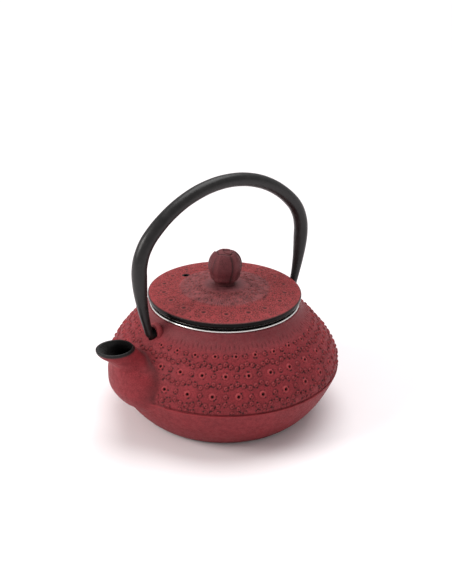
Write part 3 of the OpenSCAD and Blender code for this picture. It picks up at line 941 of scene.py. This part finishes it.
def make_knob():
    """A rosebud: five outer petals that overlap, and the spiral of the inner ones at the top."""
    columns, rows = 240, 150
    petals, spirals = 5, 3
    # Latitude from the neck, 64 degrees down, to near the top, 80 degrees up.
    latitude = -math.radians(64) + np.linspace(0, 1, rows) * math.radians(64 + 80)
    up = latitude[:, None]
    turn = turns(columns)
    base_r = KNOB_R * np.cos(up) * (1 + 0.42 * smooth((-up - 0.40) / 0.75))
    base_z = KNOB_Z + KNOB_H / 2 + KNOB_H / 2 * np.sin(up)
    # place goes from 0 to 1 over each petal, from its free edge to where the next one covers it.
    place = (turn / (2 * math.pi) * petals - 0.10 * smooth((up + 1.0) / 1.6) - 0.02) % 1.0
    shelf = 0.62 * (1 - place) ** 1.3 * smooth(place / 0.045)
    tip = math.radians(53) + math.radians(7) * np.sin(np.pi * place)
    outer = smooth((tip - up) / 0.10)
    inner_place = (turn / (2 * math.pi) * spirals + 0.9 * smooth((up - 0.8) / 0.7)) % 1.0
    inner = 0.42 * (1 - inner_place) * smooth(inner_place / 0.05) - 0.22
    fade = smooth((up + 1.1) / 0.35)
    push = fade * (outer * shelf + (1 - outer) * inner) - 0.15
    side_crease = smooth(1 - np.minimum(place, 1 - place) / 0.075)
    spiral_crease = 0.7 * smooth(1 - np.abs(inner_place - 0.02) / 0.06)
    tip_crease = smooth(1 - np.abs(up - tip - 0.04) / 0.07)
    crease = fade * np.clip(outer * side_crease + (1 - outer) * spiral_crease + tip_crease, 0, 1)
    # Paler inner petals, and a painted highlight along the outer petals' ridges.
    crest = smooth(1 - np.abs(place - 0.22) / 0.12)
    raised_and_lit = 0.45 * (1 - outer) * (1 - crease) + 0.5 * crest * outer * fade
    r = base_r + push * np.cos(up)
    z = base_z + push * np.sin(up)
    bud = np.stack([r * np.cos(turn), r * np.sin(turn), z], -1).reshape(-1, 3)
    top_z = KNOB_Z + KNOB_H
    foot = np.array([(5.0, KNOB_FOOT_Z), (4.95, KNOB_Z - 0.35), (5.05, KNOB_Z + 0.1)])
    top = np.array([(1.0, top_z - 0.75), (0.6, top_z - 1.0), (0.02, top_z - 1.1)])
    points = np.vstack([revolve(foot, columns), bud, revolve(top, columns)])
    ends = np.ones(3 * columns)
    layers = zero_layers(points)
    # Dark wash with painted shade in the creases and in the hollow at the top. Painted shadow on the foot and
    # the lowest 2.5 mm, where the knob sits on the lid.
    low = smooth((KNOB_Z + 2.5 - points[:, 2]) / 2.5)
    layers["pit"] = np.maximum(np.r_[0.25 * ends, 0.66 * crease.ravel(), 0.5 * ends], 0.35 * low)
    layers["rubbed_and_highlight"] = np.r_[0 * ends, raised_and_lit.ravel(), 0 * ends]
    piece = mesh_piece("rosebud_knob", points, grid_faces(rows + 6, columns), PLUM, **layers)
    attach(piece, "knob")
    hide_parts("lid_knob")


# ---- Infuser: woven mesh ------------------------------------------------------------------

WIRE_R, WEAVE = 0.15, 0.13


def wires(name, paths, side, closed, node):
    """Square-section wires along a stack of equal-length paths of points in mm.

    side is the direction that the weave waves in."""
    n, m, _ = paths.shape
    way = np.roll(paths, -1, 1) - np.roll(paths, 1, 1) if closed else np.gradient(paths, axis=1)
    way /= np.linalg.norm(way, axis=2)[..., None]
    other = np.cross(way, side)
    other /= np.maximum(np.linalg.norm(other, axis=2), 1e-9)[..., None]
    corners = ((1, 0), (0, 1), (-1, 0), (0, -1))
    points = np.stack([paths + WIRE_R * (a * side + b * other) for a, b in corners], 2).reshape(-1, 3)
    w, s, k = np.meshgrid(np.arange(n), np.arange(m if closed else m - 1), np.arange(4), indexing="ij")
    here, there = w * m * 4 + s * 4, w * m * 4 + (s + 1) % m * 4
    faces = np.stack([here + k, here + (k + 1) % 4, there + (k + 1) % 4, there + k], -1).reshape(-1, 4)
    piece = mesh_piece(name, points, faces, WIRE)
    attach(piece, "infuser")
    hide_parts(node)


def wall_wires(name, r, turn, z, closed):
    """Wires on the round wall, from radii, turns and heights that broadcast together."""
    out = np.stack(np.broadcast_arrays(np.cos(turn), np.sin(turn), 0 * r), -1)
    paths = r[..., None] * out
    paths[..., 2] = z
    wires(name, paths, out, closed, "infuser_wall")


def make_mesh_basket():
    """A plain weave: the wall's wires cross over and under each other, and so do the floor's."""
    low, high = BASKET_Z + 0.7, BASKET_Z + 25.0
    uprights, rounds = 176, 21
    middle = MESH_R - 0.25
    z = np.linspace(low, high, rounds * 2 + 1)[None, :]
    turn = ((np.arange(uprights) + 0.5) * 2 * math.pi / uprights)[:, None]
    sign = (-1.0) ** np.arange(uprights)[:, None]
    r = middle + WEAVE * sign * np.sin(np.pi * (z - low) / (high - low) * rounds)
    wall_wires("infuser_wall_upright", r, turn, z, False)
    turn = turns(uprights * 2)[None, :]
    z = (low + (np.arange(rounds) + 0.5) * (high - low) / rounds)[:, None]
    sign = (-1.0) ** np.arange(rounds)[:, None]
    r = middle - WEAVE * sign * np.sin(uprights / 2 * turn)
    wall_wires("infuser_wall_round", r, turn, z, True)
    floor_z, reach, pitch = BASKET_Z + 0.8, MESH_R - 0.7, 1.2
    lines = np.arange(-27, 28) * pitch
    half = np.sqrt(np.maximum(reach ** 2 - lines ** 2, 0.5))
    s = half[:, None] * np.linspace(-1, 1, 110)
    flat = np.broadcast_to(lines[:, None], s.shape)
    sign = (-1.0) ** np.arange(len(lines))[:, None]
    wave = WEAVE * sign * np.cos(np.pi * s / pitch)
    up = np.broadcast_to((0.0, 0.0, 1.0), (*s.shape, 3))
    wires("infuser_floor_x", np.stack([s, flat, floor_z + wave], -1), up, False, "infuser_floor")
    wires("infuser_floor_y", np.stack([flat, s, floor_z - wave], -1), up, False, "infuser_floor")


# ---- Carried-over CAD nodes ------------------------------------------------------------------

def dress(node, material):
    """Gives a CAD node that stays in view a better material, in all its slots."""
    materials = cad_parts[node].data.materials
    if len(materials) == 0:
        materials.append(material)
    for i in range(len(materials)):
        materials[i] = material


make_dome()
make_bowl()
make_spout()
make_inside()
make_lug("lug_spout_side", 1)
make_lug("lug_back", -1)
make_handle()
make_lid_top()
make_lid_underside()
make_lid_vent()
make_knob()
make_mesh_basket()
dress("infuser_rim", STEEL)
dress("infuser_foot_ring", STEEL)
dress("knob_stud", STUD)
dress("stud_washer", STUD)


# ---- Floor, light and camera ---------------------------------------------------------------------

def make_floor():
    """A plain pale floor, just under the pot's base."""
    n = Nodes("pale_floor")
    haze = n.ramp(n.noise(60, 2), (0.3, 0.0), (0.7, 1.0))
    n.shader.inputs["Specular IOR Level"].default_value = 0.1
    # The floor's faint pink shows only where the floor is shaded: a painted reflection of the red pot's
    # bounce light.
    material = n.finish(Base_Color=n.blend(haze, (0.91, 0.865, 0.880), (0.93, 0.885, 0.900)), Roughness=0.9)
    side, z = 3000.0, -0.02
    corners = np.array([(-side, -side, z), (side, -side, z), (side, side, z), (-side, side, z)])
    mesh_piece("floor", corners, np.array([(0, 1, 2, 3)]), material, smooth=False)


def place_light(name, kind, towards, settings, at=(0, 0, 0)):
    """A light that shines in a direction, with its settings by name."""
    data = bpy.data.lights.new(name, kind)
    for setting, value in settings.items():
        setattr(data, setting, value)
    light = bpy.data.objects.new(name, data)
    light.location = at
    light.rotation_mode = "QUATERNION"
    light.rotation_quaternion = towards.to_track_quat("-Z", "Y")
    bpy.context.scene.collection.objects.link(light)


VIEW_AZIMUTH, VIEW_ELEVATION, VIEW_ROLL = math.radians(141.85), math.radians(24.35), math.radians(0.86)
CAMERA_AT = Vector((0.24937, 0.31697, 0.24343))
FOCAL_LENGTH, SENSOR = 54.16, 36

BACK = Vector((math.sin(VIEW_AZIMUTH) * math.cos(VIEW_ELEVATION),
               -math.cos(VIEW_AZIMUTH) * math.cos(VIEW_ELEVATION), math.sin(VIEW_ELEVATION)))
RIGHT = Vector((math.cos(VIEW_AZIMUTH), math.sin(VIEW_AZIMUTH), 0))


def make_camera():
    """The photograph's view: from the front and above, rolled by less than a degree."""
    up = BACK.cross(RIGHT)
    tilted_right = RIGHT * math.cos(VIEW_ROLL) + up * math.sin(VIEW_ROLL)
    tilted_up = up * math.cos(VIEW_ROLL) - RIGHT * math.sin(VIEW_ROLL)
    data = bpy.data.cameras.new("camera")
    data.sensor_width, data.lens = SENSOR, FOCAL_LENGTH
    data.shift_x, data.shift_y = 0.0034, 0.0017
    camera = bpy.data.objects.new("camera", data)
    turn = Matrix((tilted_right, tilted_up, BACK)).transposed().to_4x4()
    camera.matrix_world = Matrix.Translation(CAMERA_AT) @ turn
    bpy.context.scene.collection.objects.link(camera)
    bpy.context.scene.camera = camera


def make_light():
    """A wide soft light from above, a softbox on the camera's left, and dim white surroundings."""
    to_camera = Vector((BACK.x, BACK.y, 0)).normalized()
    middle, down = Vector((0, 0, 0.05)), Vector((0, 0, -1))
    place_light("overhead", "SUN", to_camera * 0.30 - RIGHT * 0.12 + down,
                {"energy": 2.05, "angle": math.radians(52)})
    softbox = middle - RIGHT * 0.60 + to_camera * 0.20 - down * 0.38
    place_light("key", "AREA", middle - softbox,
                {"shape": "DISK", "size": 0.34, "energy": 2.9, "color": (1, 0.97, 0.94)}, softbox)
    world = bpy.data.worlds.new("studio")
    world.use_nodes = True
    sky = world.node_tree.nodes["Background"]
    sky.inputs["Color"].default_value = (1, 1, 1, 1)
    sky.inputs["Strength"].default_value = 0.55
    bpy.context.scene.world = world
    bpy.context.scene.view_settings.view_transform = "Standard"


make_floor()
make_camera()
make_light()
